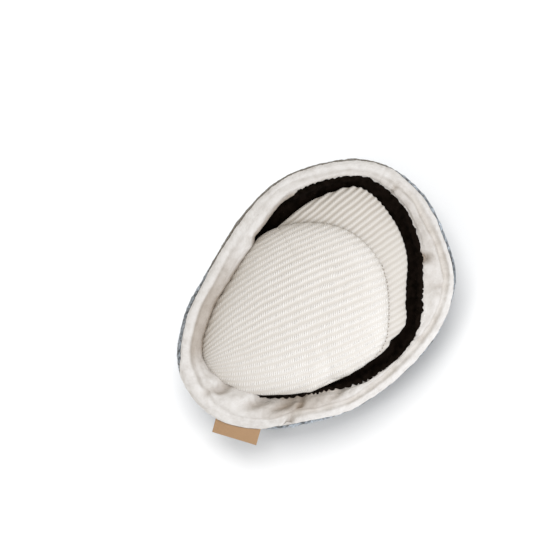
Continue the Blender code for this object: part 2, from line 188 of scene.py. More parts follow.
# Tag
TAG_FROM, TAG_TO = 181.0, 198.0
TAG_LENGTH = 10.8 * MM
TAG_THICKNESS = 1.3 * MM
TAG_DROOP = 22.0
TAG_TURN = 207.0
TAG_TOP = 38.2 * MM
TAG_COLUMNS, TAG_ROWS, TAG_FOLD_ROWS = 150, 52, 7
TAG_WEAVE = 0.06 * MM

# Stitches: where they run, and the length and thickness of each
LOBE_STITCHES_FROM, LOBE_STITCHES_TO, LOBE_STITCH_STEP = -93.0, -20.0, 2.7
LOBE_STITCH = (1.1 * MM, 0.34 * MM)
TAG_STITCH_COUNT = 22
TAG_STITCH = (1.05 * MM, 0.4 * MM)

# Looks that more than one piece shares
WHITE = (1.0, 1.0, 1.0)
SPECULAR_LEVEL = 0.15
SHEEN_ROUGHNESS = 0.45

# Camera and light, as pixels of the 533 pixel square picture where named so
PICTURE_SIDE = 533
PICTURE_MIDDLE = (266.5, 266.5)
WELL_IN_PICTURE = (318.0, 300.5)
PIXEL = 0.645 * MM
TOY_TURN = 48.0
CAMERA_REACH = 1.40
RIM_PLANE = 42.0 * MM
WARM = (1.0, 0.95, 0.89)
COOL = (0.94, 0.98, 1.06)
WORLD_STRENGTH = 0.68
FLOOR_BRIGHTNESS = 0.9


def closed_curve(radii_mm):
    """Give a function of angle that runs smoothly through evenly spaced radii."""
    radii = np.array(radii_mm) * MM
    step = 360.0 / len(radii)

    def radius(angle):
        place = np.asarray(angle, float) % 360.0 / step
        first = np.floor(place).astype(int)
        t = place - first
        a, b, c, d = (radii[(first + shift) % len(radii)] for shift in (-1, 0, 1, 2))
        bend = (2 * a - 5 * b + 4 * c - d) * t**2 + (3 * b - a - 3 * c + d) * t**3
        return 0.5 * (2 * b + (c - a) * t + bend)

    return radius


rim_radius = closed_curve(RIM_OUTLINE)
well_radius = closed_curve(WELL_OUTLINE)
smooth_front_radius = closed_curve(FRONT_OUTLINE)
smooth_back_radius = closed_curve(BACK_OUTLINE)


def on_circle(radius, angle):
    return radius * np.cos(np.radians(angle)), radius * np.sin(np.radians(angle))


def polar(x, y):
    return np.hypot(x, y), np.degrees(np.arctan2(y, x))


def frame_shift():
    """How far the frame has moved the toy from the middle of its well."""
    turn = np.linspace(0.0, 360.0, 3600)
    x, y = on_circle(rim_radius(turn), turn)
    low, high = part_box("shell")
    across = (low.x + high.x - x.min() - x.max()) / 2
    return np.array((across, (low.y + high.y - y.min() - y.max()) / 2, 0.0))


SHIFT = frame_shift()


def smooth_step(value):
    t = np.clip(value, 0.0, 1.0)
    return t * t * (3.0 - 2.0 * t)


def within(angle, start, end, ramp):
    """Rise smoothly from 0 to 1 between two angles, with a ramp at each side."""
    return smooth_step((angle - start + ramp) / ramp) * smooth_step((end + ramp - angle) / ramp)


def bump_at(value, centre, half_width):
    return np.exp(-((value - centre) / half_width) ** 2)


def angle_between(angle, centre):
    return (angle - centre + 180.0) % 360.0 - 180.0


def nicks(table, angle):
    return sum(out * MM * bump_at(angle_between(angle, at), 0.0, half) for at, half, out in table)


def back_radius(angle):
    return smooth_back_radius(angle) + nicks(BACK_NICKS, angle)


def front_radius(angle):
    return smooth_front_radius(angle) + nicks(FRONT_NICKS, angle)


def hashed(cells, seed):
    """A repeatable random value from -1 to 1 for each whole-numbered cell."""
    mix = (cells * np.array((73856093, 19349663, 83492791))).sum(axis=-1) + seed * 15485863
    mix = ((mix ^ (mix >> 13)) & 0x7FFFFFFF) * 1274126177 & 0x7FFFFFFF
    mix = ((mix ^ (mix >> 16)) & 0x7FFFFFFF) * 668265263 & 0x7FFFFFFF
    return (mix ^ (mix >> 15)) % 65536 / 32767.5 - 1.0


def point_hash(points, seed):
    """A repeatable random value from -1 to 1 for each point, to a hundredth of a millimetre."""
    return hashed(np.round(points * 1e5).astype(np.int64), seed)


def noise(points, size, seed):
    """Smooth random values from -1 to 1, with bumps about as wide as the size."""
    cell = points / size
    base = np.floor(cell).astype(np.int64)
    t = cell - base
    t = t * t * (3.0 - 2.0 * t)
    total = np.zeros(points.shape[:-1])
    for corner in itertools.product((0, 1), repeat=3):
        weight = np.prod(np.where(np.array(corner) == 1, t, 1.0 - t), axis=-1)
        total += weight * hashed(base + np.array(corner), seed)
    return total


def layered_noise(points, size, seed, layers=3):
    total = sum(noise(points, size / 2**k, seed + k) / 2**k for k in range(layers))
    return total / sum(1 / 2**k for k in range(layers))


def rim_height(angle):
    return RIM_HEIGHT + RIM_HEIGHT_SWAY * np.sin(np.radians(angle))


def along_rim(table, angle):
    """Values at an angle round the rim, from rows of an angle and the values there."""
    turns, *columns = zip(*table)
    return [np.interp(angle, turns, column, period=360.0) for column in columns]


def seam_angle(angle):
    """Angle on the rim's round nose where cup and lining are sewn together."""
    return along_rim(SEAMS, angle)[0]


def ledge_share(angle):
    """Where the mantle's edge lies in teeth over the lining, from 0 to 1."""
    return 1.0 - within(angle, TUCK_FROM, HUG_TO, TUCK_RAMP)


def mantle_height(x, y):
    return MANTLE_TOP + MANTLE_LEAN_X * x + MANTLE_LEAN_Y * y


def well_mantle_height(angle):
    return mantle_height(*on_circle(well_radius(angle), angle))


def dome(share):
    """Height of a stuffed pillow from 1 in the middle to 0 at its outline."""
    return np.clip(1.0 - np.clip(share, 0.0, 1.0) ** DOME_POWER, 0.0, 1.0) ** (1.0 / DOME_ROOT)


def tuck(share):
    """How far a pillow's underside has reached its bed, 0 at the outline."""
    return np.sqrt(np.clip(1.0 - np.clip(share, 0.0, 1.0) ** 8, 0.0, 1.0))


def back_edge_height(angle):
    return mantle_height(*on_circle(back_radius(angle), angle)) + BACK_EDGE_LIFT


def back_top(x, y, inward=0.0):
    radius, angle = polar(x, y)
    edge = back_edge_height(angle)
    share = np.maximum(radius - inward, 0.0) / back_radius(angle)
    return edge + (BACK_CROWN - edge) * dome(share)


def back_underside(x, y):
    radius, angle = polar(x, y)
    edge = back_edge_height(angle)
    bed = mantle_height(x, y) + BEDDING_GAP
    return edge - (edge - bed) * tuck(radius / back_radius(angle))


def front_edge_height(angle):
    return back_top(*on_circle(front_radius(angle), angle)) + FRONT_EDGE_LIFT


def front_top(x, y):
    radius, angle = polar(x, y)
    edge = front_edge_height(angle)
    return edge + (FRONT_CROWN - edge) * dome(radius / front_radius(angle))


def front_underside(x, y):
    radius, angle = polar(x, y)
    edge = front_edge_height(angle)
    bed = back_top(x, y, LOBE_SIDE_GAP) + LOBE_GAP
    return edge - (edge - bed) * tuck(radius / front_radius(angle))


def nose_point(angle, radius, turn):
    """A point of the rim's round nose in section."""
    out = radius * np.cos(np.radians(turn))
    up = radius * np.sin(np.radians(turn))
    return rim_radius(angle) - NOSE_RADIUS + out, rim_height(angle) - NOSE_RADIUS + up


def smooth_profile(keys, counts):
    """Rows of points along smooth curves through key points; counts has the rows of each stretch."""
    keys = [np.stack(np.broadcast_arrays(*key), axis=-1) for key in keys]
    keys = [2 * keys[0] - keys[1]] + keys + [2 * keys[-1] - keys[-2]]
    rows = []
    for i, count in enumerate(counts):
        p = keys[i:i + 4]
        knots = [np.zeros(p[0].shape[:-1])]
        for a, b in zip(p, p[1:]):
            knots.append(knots[-1] + np.sqrt(np.linalg.norm(b - a, axis=-1)) + 1e-6)
        k = [knot[..., None] for knot in knots]
        for step in range(count):
            t = k[1] + (k[2] - k[1]) * step / count
            a = [(p[j] * (k[j + 1] - t) + p[j + 1] * (t - k[j])) / (k[j + 1] - k[j]) for j in range(3)]
            b = [(a[j] * (k[j + 2] - t) + a[j + 1] * (t - k[j])) / (k[j + 2] - k[j]) for j in range(2)]
            rows.append((b[0] * (k[2] - t) + b[1] * (t - k[1])) / (k[2] - k[1]))
    rows.append(keys[-2])
    return np.array(rows)


def turned(rows, angle):
    """Points in space for rows of radius and height at the given angles."""
    x, y = on_circle(rows[..., 0], angle)
    return np.stack((x, y, rows[..., 1]), axis=-1)


def normals(rings):
    """Outward directions on a grid of closed rings."""
    along = np.roll(rings, -1, axis=1) - np.roll(rings, 1, axis=1)
    across = np.gradient(rings, axis=0)
    out = np.cross(along, across)
    return out / np.maximum(np.linalg.norm(out, axis=-1, keepdims=True), 1e-12)


def ring_piece(name, rings, first_pole, last_pole, fields, material):
    """Close a grid of rings with a pole at each end, and name the piece."""
    rows, columns = rings.shape[:2]
    points = np.concatenate((rings.reshape(-1, 3), [first_pole, last_pole])) + SHIFT
    index = np.arange(rows * columns).reshape(rows, columns)
    after = np.roll(index, -1, axis=1)
    quads = np.stack((index[:-1], after[:-1], after[1:], index[1:]), axis=-1).reshape(-1, 4)
    foot = [(rows * columns, b, a) for a, b in zip(index[0], after[0])]
    head = [(rows * columns + 1, a, b) for a, b in zip(index[-1], after[-1])]
    faces = quads.tolist() + np.array(foot).tolist() + np.array(head).tolist()
    return mesh_piece(name, points, faces, fields, material)


def mesh_piece(name, points, faces, fields, material):
    """Make a smooth piece that rides on the toy, with a named value at each point."""
    mesh = bpy.data.meshes.new(name)
    mesh.from_pydata(points.tolist(), [], faces)
    for field, values in fields.items():
        values = np.concatenate((values.ravel(), np.zeros(len(points) - values.size)))
        layer = mesh.attributes.new(field, "FLOAT", "POINT")
        layer.data.foreach_set("value", values.astype(np.float32))
    mesh.shade_smooth()
    mesh.materials.append(material)
    piece = bpy.data.objects.new(name, mesh)
    bpy.context.scene.collection.objects.link(piece)
    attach(piece, "root")
    return piece


def pile_relief(points, lay, seed, size, depth):
    """Short plush: small clumps stretched along the lay of the pile, and finer tips."""
    flat = points - lay * (points * lay).sum(axis=-1, keepdims=True) * 0.6
    clumps = layered_noise(flat, size, seed, layers=2)
    return depth * (0.75 * clumps + 0.25 * point_hash(points, seed + 7))


def make_shell():
    """The cup of blue-grey plush: flat foot, round sides and the outer part of the rim's nose."""
    angle = np.linspace(0.0, 360.0, SHELL_COLUMNS, endpoint=False)
    rim, top, seam = rim_radius(angle), rim_height(angle), seam_angle(angle)
    nose_z = top - NOSE_RADIUS
    foot = rim * FOOT_SHARE
    edge = seam - SEAM_CREASE_ANGLE
    under = np.minimum(0.0, edge - 4.0)
    side_end = np.arccos(-NOSE_RADIUS * np.sin(np.radians(under)) / nose_z)
    rows = [np.stack((foot * share, 0 * foot), axis=-1) for share in FOOT_ROWS]
    for step in range(SHELL_SIDE_ROWS):
        turn = side_end * step / SHELL_SIDE_ROWS
        out = foot + (rim - foot) * np.sin(turn)
        rows.append(np.stack((out, nose_z * (1.0 - np.cos(turn))), axis=-1))
    for share in np.linspace(0.0, 1.0, SHELL_EDGE_ROWS):
        rows.append(np.stack(nose_point(angle, NOSE_RADIUS, under + (edge - under) * share), axis=-1))
    wall = well_radius(angle) + LINING_WALL + LAYER_GAP
    low = well_mantle_height(angle) - 3.0 * MM
    keys = [nose_point(angle, NOSE_RADIUS - 0.5 * MM, edge + 3.0),
            nose_point(angle, NOSE_RADIUS - 2.0 * MM, edge + 2.0),
            (rim - NOSE_RADIUS - 1.0 * MM, top - NOSE_RADIUS - 1.0 * MM),
            (wall, low), (wall * 0.9, low * 0.62), (wall * 0.6, 0 * low + CUP_FLOOR + 0.6 * MM),
            (wall * 0.2, 0 * low + CUP_FLOOR)]
    hidden = smooth_profile(keys, (2, 2, 3, 3, 2, 2))
    rings = turned(np.concatenate((np.array(rows), hidden)), angle)

    out = normals(rings)
    visible = np.zeros(rings.shape[:2])
    visible[len(FOOT_ROWS):len(rows)] = 1.0
    lift = smooth_step((rings[..., 2] - 0.4 * MM) / (3.0 * MM))
    relief = SHELL_SWELL * layered_noise(rings, SHELL_SWELL_SIZE, seed=11, layers=2) * lift
    fur = pile_relief(rings, UP, 21, SHELL_PILE_SIZE, SHELL_PILE) * lift
    darts = sum(bump_at(angle_between(angle, at) * rim * np.pi / 180.0, 0.0, DART_HALF_WIDTH)
                for at in DARTS)
    reach = smooth_step((rings[..., 2] - 2.0 * MM) / (6.0 * MM))
    reach *= smooth_step((27.0 * MM - rings[..., 2]) / (12.0 * MM))
    on_edge = smooth_step((rings[..., 2] - nose_z + 1.5 * MM) / (2.0 * MM))
    edge_line = np.stack((*on_circle(rim, angle), 0 * angle), axis=-1)
    beads = 0.6 * noise(edge_line, 1.5 * MM, seed=24) + 0.4 * noise(edge_line, 3.1 * MM, seed=25)
    beads = beads * on_edge
    relief = relief + fur - DART_DEPTH * darts * reach + EDGE_FUR * beads
    rings += out * (relief * visible)[..., None]
    rings[..., 2] = np.maximum(rings[..., 2], 0.0)
    brown = within(angle, BROWN_FROM, BROWN_TO, BROWN_RAMP) * on_edge
    fields = {"fur": fur / SHELL_PILE, "brown": brown, "beads": beads}
    return ring_piece("shell_plush", rings, (0, 0, 0), (0, 0, CUP_FLOOR), fields, shell_material())


def lip_height(angle):
    """Height of the lining's inner edge above the mantle."""
    top, mantle = rim_height(angle), well_mantle_height(angle)
    roll = within(angle, ROLL_FROM, ROLL_TO, ROLL_RAMP)
    hug = within(angle, HUG_FROM, HUG_TO, HUG_RAMP)
    lip = mantle + LIP_RISE
    lip = lip + (top - ROLL_LIP_DROP - lip) * roll * (1.0 - hug)
    return lip + (front_edge_height(angle) - HUG_LIP_DROP - lip) * hug


def lip_radius(angle):
    """Radius of the lining's inner edge."""
    well = well_radius(angle) - 0.2 * MM - 1.4 * MM * ledge_share(angle)
    hug = within(angle, HUG_FROM, HUG_TO, HUG_RAMP)
    return well + (np.minimum(well, front_radius(angle) - HUG_OVERLAP) - well) * hug


def lining_rows(angle):
    """Section of the lining from under its floor, out to the seam and back in to its floor."""
    rim, top, well = rim_radius(angle), rim_height(angle), well_radius(angle)
    mantle = well_mantle_height(angle)
    edge = seam_angle(angle) + SEAM_CREASE_ANGLE
    roll = within(angle, ROLL_FROM, ROLL_TO, ROLL_RAMP)
    ledge = ledge_share(angle)
    inner, lip = lip_radius(angle), lip_height(angle)
    groove, _, _, rise = (MM * values for values in along_rim(GROOVES, angle))
    fold = groove + np.minimum(FOLD_REACH, 0.45 * (rim - inner - groove))
    crest = top + rise
    drop = crest - lip
    low_slope = crest - drop * (0.76 - 0.14 * roll)
    low_slope += (lip + LEDGE_RISE - low_slope) * ledge
    wall = well + LINING_WALL
    low = mantle - 3.0 * MM
    zero = 0 * well
    keys = [(wall * 0.2, zero + LINING_FLOOR - LINING_WALL),
            (wall * 0.65, zero + LINING_FLOOR - 2.0 * MM),
            (wall * 0.93, low * 0.62), (wall, low),
            (rim - NOSE_RADIUS - 1.0 * MM, top - NOSE_RADIUS),
            nose_point(angle, NOSE_RADIUS - 1.8 * MM, edge + 3.0),
            nose_point(angle, NOSE_RADIUS - 0.5 * MM, edge - 2.0),
            nose_point(angle, NOSE_RADIUS, edge + 2.0),
            nose_point(angle, NOSE_RADIUS, (edge + 92.0) / 2),
            nose_point(angle, NOSE_RADIUS, 90.0),
            (rim - groove, top - 0.5 * MM + 0.3 * MM * roll),
            (rim - fold, crest),
            ((rim - fold + inner) / 2, crest - drop * (0.30 - 0.12 * roll)),
            (inner + 1.0 * MM + (LEDGE - 1.0 * MM) * ledge, low_slope),
            (inner, lip), (well + 0.6 * MM, np.minimum(lip - 3.0 * MM, mantle + 1.0 * MM)),
            (well + 0.3 * MM, mantle - 2.0 * MM), (well, mantle - 5.0 * MM),
            (well * 0.92, (mantle + LINING_FLOOR) / 2 - 2.0 * MM),
            (well * 0.6, zero + LINING_FLOOR + 0.5 * MM),
            (well * 0.2, zero + LINING_FLOOR)]
    counts = (1, 2, 2, 2, 2, 2, 3, 6, 6, 6, 9, 9, 9, 6, 3, 3, 3, 2, 2, 2)
    return smooth_profile(keys, counts)


def make_lining():
    """White plush from the rim seam, over the fold, down into the well."""
    angle = np.linspace(0.0, 360.0, LINING_COLUMNS, endpoint=False)
    rows = lining_rows(angle)
    rings = turned(rows, angle)
    out = normals(rings)
    inset = rim_radius(angle) - rows[..., 0]
    outer = np.zeros(rings.shape[:2])
    outer[LINING_SHOWN_ROWS] = 1.0
    roll = within(angle, ROLL_FROM, ROLL_TO, ROLL_RAMP)

    arc = np.radians(1.0) * rim_radius(angle)
    groove_inset, groove_depth, groove_width, _ = (MM * v for v in along_rim(GROOVES, angle))
    height = np.zeros(rings.shape[:2])
    for at, place, half_along, half_across, rise in LINING_DENTS:
        along = angle_between(angle, at) * arc
        across = inset - place * MM - DENT_SLANT * along
        bump = bump_at(along, 0.0, half_along * MM) * bump_at(across, 0.0, half_across * MM)
        height += rise * MM * bump
    pocket = np.clip(-height / DEEP_DENT, 0.0, 1.0)
    puff = layered_noise(rings, PUFF_SIZE, seed=31, layers=2)
    puff *= smooth_step((inset - 5.0 * MM) / (4.0 * MM))
    height += PUFF_RISE * puff * (1.0 - 0.3 * roll)
    height += WRINKLE_RISE * noise(rings, WRINKLE_SIZE, seed=33)
    wander = GROOVE_WANDER * noise(rings, 11.0 * MM, seed=37)
    pull = 0.85 + 0.3 * noise(rings, 5.0 * MM, seed=38)
    inward = inset + wander - groove_inset
    groove = bump_at(inward / np.where(inward > 0.0, 0.9, 1.2), 0.0, groove_width) * groove_depth * pull
    height -= groove
    lay = np.stack((*on_circle(1.0, angle), 0 * angle), axis=-1)
    fur = pile_relief(rings, lay, 41, LINING_PILE_SIZE, LINING_PILE)
    rings += out * ((height + fur) * outer)[..., None]
    # Painted shade: darker towards the inner edge, over the inner slope past the groove, and in deep
    # dents.
    near, broad = along_rim(PAINTED_SHADES, angle)
    from_lip = rows[..., 0] - lip_radius(angle)
    slope = smooth_step((inset - groove_inset + 0.5 * MM) / (2.0 * MM))
    painted_shade = near * smooth_step(1.0 - from_lip / LIP_SHADE_REACH) + broad * slope
    painted_shade = np.clip(painted_shade + DENT_SHADE * pocket, 0.0, 1.0)
    # The field seam holds the groove depth, which the material turns into painted shade.
    fields = {"fur": fur / LINING_PILE, "seam": groove / (2.0 * MM) * outer, "painted_shade": painted_shade}
    floor = LINING_FLOOR
    return ring_piece("lining_plush", rings, (0, 0, floor - LINING_WALL), (0, 0, floor), fields,
                      lining_material())


def make_mantle():
    """The dark cushion; its shaggy edge climbs to the lining's lip and lies over it in teeth."""
    angle = np.linspace(0.0, 360.0, MANTLE_COLUMNS, endpoint=False)
    ledge = ledge_share(angle)
    edge = well_radius(angle) - 0.4 * MM * (1.0 - ledge)
    top = mantle_height(*on_circle(edge, angle))
    lip = lip_height(angle)
    low = LINING_FLOOR + LAYER_GAP
    inner = edge - 17.0 * MM
    keys = [(edge * 0.3, 0 * edge + low), (edge * 0.75, 0 * edge + low + 2.0 * MM),
            (edge - 0.6 * MM - 1.6 * MM * ledge, top - 8.0 * MM),
            (edge - 2.4 * MM * ledge, top - MANTLE_EDGE),
            (edge - 0.4 * MM * (1.0 - ledge), top - 0.9 * MM + (lip + 1.8 * MM - top) * ledge),
            (edge - 1.3 * MM, top - 0.2 * MM + (lip + 1.6 * MM - top) * ledge),
            (edge - 2.5 * MM - 0.7 * MM * ledge, top + (lip + 0.2 * MM - top) * ledge),
            (edge - 6.0 * MM, top + 0.2 * MM), (inner, mantle_height(*on_circle(inner, angle))),
            (inner * 0.6, mantle_height(*on_circle(inner * 0.6, angle))),
            (inner * 0.2, mantle_height(*on_circle(inner * 0.2, angle)))]
    rings = turned(smooth_profile(keys, (2, 2, 4, 4, 4, 4, 5, 24, 4, 2)), angle)
    out = normals(rings)
    shown = np.zeros(rings.shape[:2])
    shown[MANTLE_SHOWN_ROWS] = 1.0
    tufts = noise(rings, TUFT_SIZE, seed=51)
    relief = TUFT_RISE * tufts + CLUMP_RISE * noise(rings, CLUMP_SIZE, seed=52)
    relief += PILE_TIPS * point_hash(rings, seed=53)
    rings += out * (relief * shown)[..., None]

    edge_line = np.stack((*on_circle(edge, angle), 0 * angle), axis=-1)
    place = np.radians(angle) * 70.0 * MM / TOOTH_PITCH + 1.2 * noise(edge_line, 13.0 * MM, seed=57)
    teeth = 1.5 * np.abs(np.sin(np.pi * place)) - 0.9
    teeth *= 0.7 + 0.5 * noise(edge_line, 9.0 * MM, seed=58)
    teeth += 0.6 * noise(edge_line, 5.5 * MM, seed=54) + 0.3 * noise(edge_line, 2.0 * MM, seed=56)
    teeth *= 1.0 + 0.5 * within(angle, *LONG_TEETH)
    order = np.arange(len(rings))[:, None]
    push = bump_at(order, TOOTH_ROW, TOOTH_HALF_ROWS) * teeth * TOOTH_REACH
    push *= 0.25 + 0.75 * ledge
    rings[..., 0] += push * np.cos(np.radians(angle))
    rings[..., 1] += push * np.sin(np.radians(angle))
    rings[..., 2] += 0.3 * np.maximum(push, 0.0)
    return ring_piece("mantle_plush", rings, (0, 0, low), (0, 0, MANTLE_TOP), {"fur": tufts},
                      mantle_material())


def rib_profile(phase):
    """A soft round rib, from 0 in the furrow to 1 on the rib."""
    return 0.5 + 0.5 * np.cos(2.0 * np.pi * phase)


def rib_axes(angle):
    return on_circle(1.0, angle), on_circle(1.0, angle + 90.0)


def rib_count(x, y, field):
    u, v = x / RIB_FIELD_SIZE, y / RIB_FIELD_SIZE
    return sum(weight * u**i * v**j for (i, j), weight in field.items())


def front_ribs(x, y):
    """Rib number and distance along the rib; the ribs draw together at the narrow tip."""
    along, across = rib_axes(FRONT_RIB_ANGLE)
    from_tip_x, from_tip_y = x - FAN_TIP[0], y - FAN_TIP[1]
    reach = along[0] * from_tip_x + along[1] * from_tip_y
    side = across[0] * from_tip_x + across[1] * from_tip_y
    fan = FAN_RIBS * np.arctan2(side, reach + FAN_CORE)
    return rib_count(x, y, FRONT_RIB_FIELD) + fan, reach


def back_ribs(x, y):
    """Rib number and distance along the rib."""
    along = rib_axes(BACK_RIB_ANGLE)[0]
    return rib_count(x, y, BACK_RIB_FIELD), along[0] * x + along[1] * y


def slice_rings(radius_at, rib_angle, top, underside, slices, points_over, points_under):
    """Closed rings over and under a pillow, one for each slice across its ribs."""
    along, across = (np.array(axis) for axis in rib_axes(rib_angle))
    turn = np.linspace(0.0, 360.0, 2880, endpoint=False)
    outline = np.array(on_circle(radius_at(turn), turn))
    u_line, v_line = along @ outline, across @ outline
    tips = outline[:, v_line.argmax()], outline[:, v_line.argmin()]
    share = np.cos(np.pi * (np.arange(slices) + 0.7) / (slices + 0.4))
    even = 1.0 - 2.0 * (np.arange(slices) + 0.7) / (slices + 0.4)
    middle, half = (v_line.max() + v_line.min()) / 2, (v_line.max() - v_line.min()) / 2
    v_rows = middle + half * (0.25 * share + 0.75 * even)
    over = np.linspace(0.0, np.pi, points_over, endpoint=False)
    under = np.linspace(np.pi, 2.0 * np.pi, points_under, endpoint=False)
    turns = np.concatenate((over, under))
    spread = np.where(np.sin(turns) >= 0.0, 0.45 * np.cos(turns) + 0.55 * (1.0 - 2.0 * turns / np.pi),
                      np.cos(turns))
    rings = []
    for v in v_rows:
        ahead = np.roll(v_line, -1)
        crossing = np.nonzero((v_line - v) * (ahead - v) <= 0.0)[0]
        part = (v - v_line[crossing]) / (ahead[crossing] - v_line[crossing])
        hits = u_line[crossing] + part * (np.roll(u_line, -1)[crossing] - u_line[crossing])
        u = (hits.min() + hits.max()) / 2 + (hits.max() - hits.min()) / 2 * spread
        x, y = along[:, None] * u + across[:, None] * v
        z = np.where(turns < np.pi, top(x, y), underside(x, y))
        rings.append(np.stack((x, y, z), axis=-1))
    poles = [(*tip, float(top(*tip))) for tip in tips]
    return np.array(rings), poles, turns


def front_crispness(x, y):
    """How clearly the ribs stand out: less towards the outline of the front lobe."""
    radius, angle = polar(x, y)
    return 1.1 - 0.65 * smooth_step((radius / front_radius(angle) - 0.4) / 0.5)


def back_crispness(_, y):
    """How clearly the ribs stand out: less towards the low side of the back lobe."""
    return 0.45 + 0.65 * smooth_step((y + 25.0 * MM) / (50.0 * MM))


def make_lobe(name, radius_at, rib_angle, top, underside, ribs, crispness, rib_rise, grid, seed,
              material):
    """A stuffed lobe of ribbed cloth, with ribs and slightly uneven stuffing."""
    rings, poles, turns = slice_rings(radius_at, rib_angle, top, underside, *grid)
    out = normals(rings)
    x, y = rings[..., 0], rings[..., 1]
    phase, reach = ribs(x, y)
    phase = phase + 0.08 * noise(rings, 6.0 * MM, seed)
    rib = rib_profile(phase)
    stuffing = STUFFING_RISE * layered_noise(rings, STUFFING_SIZE, seed + 2, layers=2)
    upper = np.where(turns <= np.pi, 1.0, np.clip(1.0 - np.abs(np.sin(turns)) * 2.0, 0.0, 1.0))
    order = np.arange(len(rings))
    ends = smooth_step(np.minimum(order, order[::-1]) / 4.0)[:, None]
    fuzz = CLOTH_FUZZ * point_hash(rings, seed + 3)
    crisp = crispness(x, y)
    at_edge = np.clip(1.0 - 3.0 * np.abs(np.sin(turns)), 0.0, 1.0)
    relief = (rib_rise + EDGE_RIB_RISE * at_edge) * crisp * (rib - 0.6) + fuzz
    relief = (relief + stuffing * np.sin(np.clip(turns, 0.0, np.pi))) * upper * ends
    rings += out * relief[..., None]
    fields = {"ribs": phase, "reach": reach / FLECK_PITCH, "crisp": crisp}
    return ring_piece(name, rings, *poles, fields, material)


def tag_grid(columns, rows):
    """Middle surface of the tag: a tape that follows the rim and droops outwards."""
    share = np.linspace(0.0, 1.0, rows)[:, None]
    angle = np.linspace(TAG_FROM, TAG_TO, columns)
    start = np.stack(on_circle(rim_radius(angle) - 0.3 * MM, angle), axis=-1)
    out = np.array(on_circle(1.0, TAG_TURN))
    end_from, end_to = start[0] + out * TAG_LENGTH * 0.86, start[-1] + out * TAG_LENGTH * 1.02
    line = np.linspace(0.0, 1.0, columns)[:, None]
    end = end_from * (1.0 - line) + end_to * line
    flat = start[None] * (1.0 - share[..., None]) + end[None] * share[..., None]
    curl = 0.5 * MM * np.sin(line[:, 0] * 5.0 + 0.6) * share
    drop = TAG_LENGTH * math.tan(math.radians(TAG_DROOP)) * share ** 1.4
    return np.concatenate((flat, (TAG_TOP - drop + curl)[..., None]), axis=-1)


def make_tag():
    """A bare folded tape with a woven face and a rounded fold at its outer edge."""
    middle = tag_grid(TAG_COLUMNS, TAG_ROWS)
    along = np.gradient(middle, axis=1)
    across = np.gradient(middle, axis=0)
    up = np.cross(along, across)
    up /= np.linalg.norm(up, axis=-1, keepdims=True)
    up *= np.sign(up[..., 2:3])
    half = TAG_THICKNESS / 2
    i, j = np.meshgrid(np.arange(TAG_ROWS), np.arange(TAG_COLUMNS), indexing="ij")
    weave = np.cos(i * 1.05) * np.where(np.sin(j * 0.9) > 0.0, 1.0, -1.0)
    outer = middle[-1]
    away = across[-1] / np.linalg.norm(across[-1], axis=-1, keepdims=True)
    face = middle + up * (half + TAG_WEAVE * weave)[..., None]
    back = middle - up * (half + TAG_WEAVE * weave)[..., None]
    turns = np.linspace(0.0, np.pi, TAG_FOLD_ROWS + 2)[1:-1]
    bend = [outer + up[-1] * half * math.cos(t) + away * half * math.sin(t) for t in turns]
    rings = np.concatenate((face, bend, back[::-1]))
    strip = rings.transpose(1, 0, 2)[::-1]
    centre = strip.mean(axis=1)
    weave = np.concatenate((weave, np.zeros((TAG_FOLD_ROWS, TAG_COLUMNS)), weave[::-1])).T[::-1]
    return ring_piece("side_tag", strip, centre[0], centre[-1], {"rib": weave}, tag_material())


def capsule(middle, along, length, thickness):
    """Points and faces of one short round stitch."""
    side = np.cross(UP, along)
    points = []
    for share, girth in ((-1.0, 0.25), (-0.75, 0.8), (0.0, 1.0), (0.75, 0.8), (1.0, 0.25)):
        sag = UP * (1.0 - share**2) * thickness * 0.6
        for turn in np.arange(6) * np.pi / 3.0:
            around = (side * math.cos(turn) + UP * math.sin(turn)) * thickness / 2 * girth
            points.append(middle + along * share * length / 2 + around + sag)
    faces = []
    for row in range(4):
        for k in range(6):
            a, b = row * 6 + k, row * 6 + (k + 1) % 6
            faces.append((a, b, b + 6, a + 6))
    faces.append(tuple(range(5, -1, -1)))
    faces.append(tuple(range(24, 30)))
    return points, faces


def stitch_piece(name, places, length, thickness, material):
    """Join short stitches into one piece; each place is a middle and a direction."""
    points, faces = [], []
    for middle, along in places:
        new_points, new_faces = capsule(middle, along, length, thickness)
        faces += [tuple(k + len(points) for k in face) for face in new_faces]
        points += new_points
    return mesh_piece(name, np.array(points) + SHIFT, faces, {}, material)


def unit(vector):
    return vector / np.linalg.norm(vector)


def make_lobe_stitches():
    """Small dark stitches that hold the front lobe's edge to the back lobe."""
    places = []
    for angle in np.arange(LOBE_STITCHES_FROM, LOBE_STITCHES_TO, LOBE_STITCH_STEP):
        jitter = float(hashed(np.array((round(angle * 10), 5, 9)), 61))
        at = angle + jitter * 0.5
        x, y = on_circle(front_radius(at) + (0.5 + 0.25 * jitter) * MM, at)
        x_next, y_next = on_circle(front_radius(at + 0.5) + 0.5 * MM, at + 0.5)
        middle = np.array((x, y, float(back_top(x, y)) + 0.6 * MM))
        rim = unit(np.array((x_next - x, y_next - y, 0.0)))
        outward = np.array((*on_circle(1.0, at), 0.0))
        along = unit(rim + 0.8 * outward)
        places.append((middle, along))
    return stitch_piece("lobe_stitches", places, *LOBE_STITCH, dark_thread_material())


def make_tag_stitches():
    """Dark thread where the tag is caught in the rim seam."""
    places = []
    for k, angle in enumerate(np.linspace(TAG_FROM + 1.0, TAG_TO - 1.0, TAG_STITCH_COUNT)):
        x, y = on_circle(rim_radius(angle) + 0.3 * MM, angle)
        x_next, y_next = on_circle(rim_radius(angle + 0.5) + 0.3 * MM, angle + 0.5)
        middle = np.array((x, y, TAG_TOP + TAG_THICKNESS / 2 + 0.2 * MM))
        along = unit(np.array((x_next - x, y_next - y, 0.0001 * (k % 3 - 1))))
        places.append((middle, along))
    return stitch_piece("tag_stitches", places, *TAG_STITCH, dark_thread_material())


